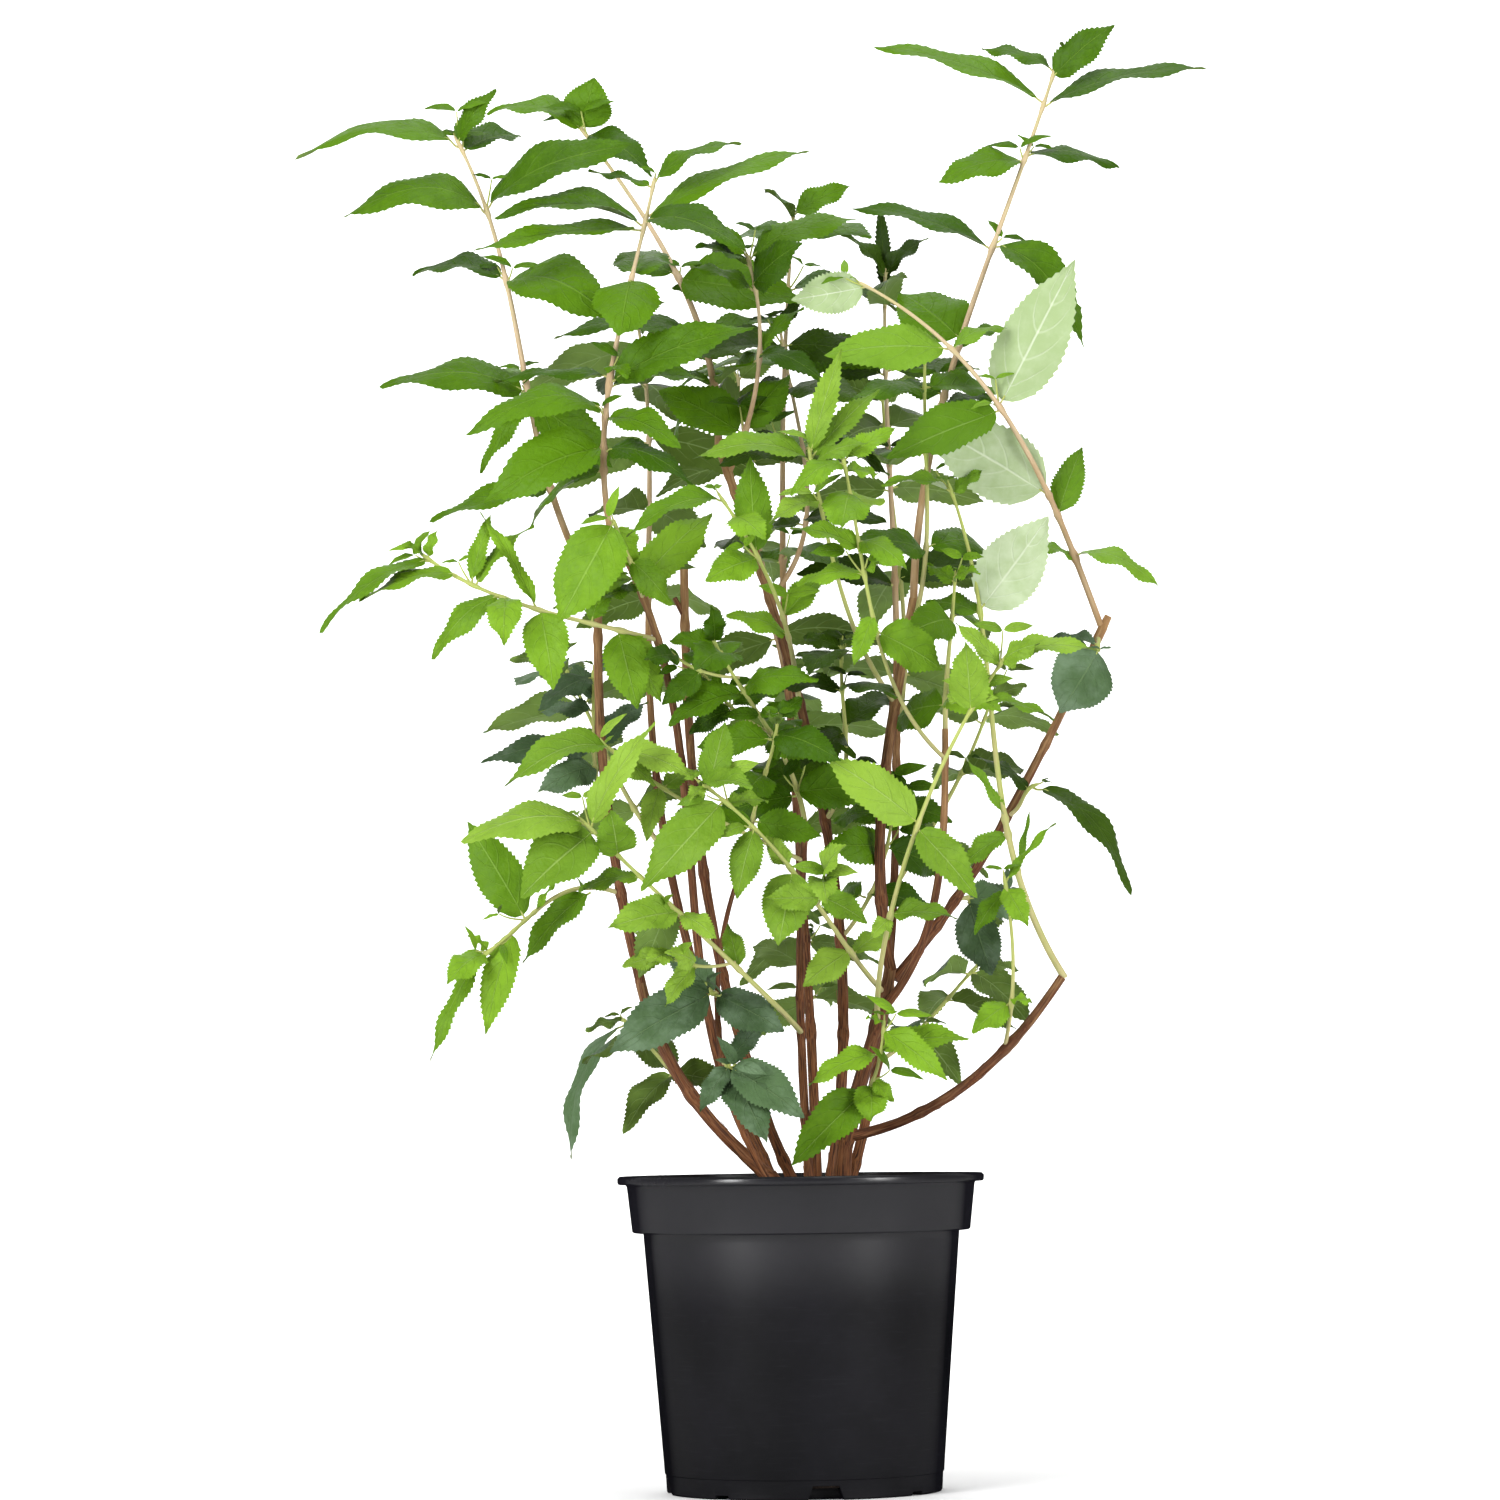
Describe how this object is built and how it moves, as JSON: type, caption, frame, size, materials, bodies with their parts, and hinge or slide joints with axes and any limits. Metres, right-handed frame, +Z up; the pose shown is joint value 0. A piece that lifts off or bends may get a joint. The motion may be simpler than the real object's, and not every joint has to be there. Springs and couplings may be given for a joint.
{
  "type": "potted deutzia shrub",
  "caption": "Deutzia shrub in leaf: a clump of slender brown canes with paired, pointed, toothed green leaves, standing in a round black plastic nursery pot.",
  "frame": {"origin": "centre of the pot's flat underside, on the ground", "axes": "+Z up, +X to the right and +Y to the back as the picture shows it"},
  "size_m": [0.5649, 0.4366, 0.9073],
  "materials": {
    "bark": "peeling brown bark",
    "leaf_fresh": "young light green leaves",
    "leaf_bright": "bright green leaves",
    "leaf_mid": "mid green leaves",
    "leaf_deep": "deep green leaves",
    "leaf_blue": "dark blue-green leaves",
    "leaf_pale": "pale leaf undersides",
    "pot_plastic": "satin black moulded plastic",
    "soil": "moist potting compost"
  },
  "bodies": {
    "root": {"pot": "pot_plastic", "potting_soil": "soil", "main_stem": "bark", "bough_main_upper": "bark", "left_cane": "bark", "bough_left_upper": "bark", "left_inner_cane": "bark", "centre_cane": "bark", "left_centre_cane": "bark", "thin_cane": "bark", "bough_right_low": "bark", "bough_right_upper": "bark", "bough_right_inner": "bark", "cut_cane": "bark", "back_left_cane": "bark", "back_cane": "bark", "back_right_cane": "bark", "foliage_left_tall": "leaf_mid", "foliage_left_second": "leaf_mid", "foliage_centre_tall": "leaf_mid", "foliage_centre_upper": "leaf_mid", "foliage_crown_centre": "leaf_mid", "foliage_crown_right": "leaf_deep", "foliage_right_tall": "leaf_mid", "foliage_right_arch": "leaf_pale", "foliage_upper_right_front": "leaf_fresh", "foliage_upper_right_mid": "leaf_mid", "foliage_heart": "leaf_bright", "foliage_centre_front": "leaf_bright", "foliage_upper_core": "leaf_deep", "foliage_back_left_upper": "leaf_deep", "foliage_back_upper": "leaf_deep", "foliage_back_right_upper": "leaf_deep", "foliage_left_mid": "leaf_bright", "foliage_left_front_large": "leaf_bright", "foliage_left_dark": "leaf_blue", "foliage_left_bright": "leaf_fresh", "foliage_centre_bright": "leaf_fresh", "foliage_centre_mid": "leaf_mid", "foliage_right_inner": "leaf_bright", "foliage_front_bright": "leaf_fresh", "foliage_right_back_mid": "leaf_deep", "foliage_back_left_mid": "leaf_blue", "foliage_back_mid": "leaf_deep", "foliage_right_side_low": "leaf_deep", "foliage_right_side_high": "leaf_blue", "foliage_mid_core": "leaf_deep", "foliage_front_left": "leaf_fresh", "foliage_left_droop": "leaf_bright", "foliage_low_left_dark": "leaf_blue", "foliage_base_left_dark": "leaf_blue", "foliage_thin_top": "leaf_mid", "foliage_base_right": "leaf_bright", "foliage_low_right": "leaf_bright", "foliage_right_low_arch": "leaf_pale", "foliage_low_right_dark": "leaf_blue", "foliage_low_centre": "leaf_mid", "foliage_base_back_left": "leaf_blue", "foliage_base_back_right": "leaf_blue", "foliage_low_back": "leaf_blue"}
  },
  "joints": []
}
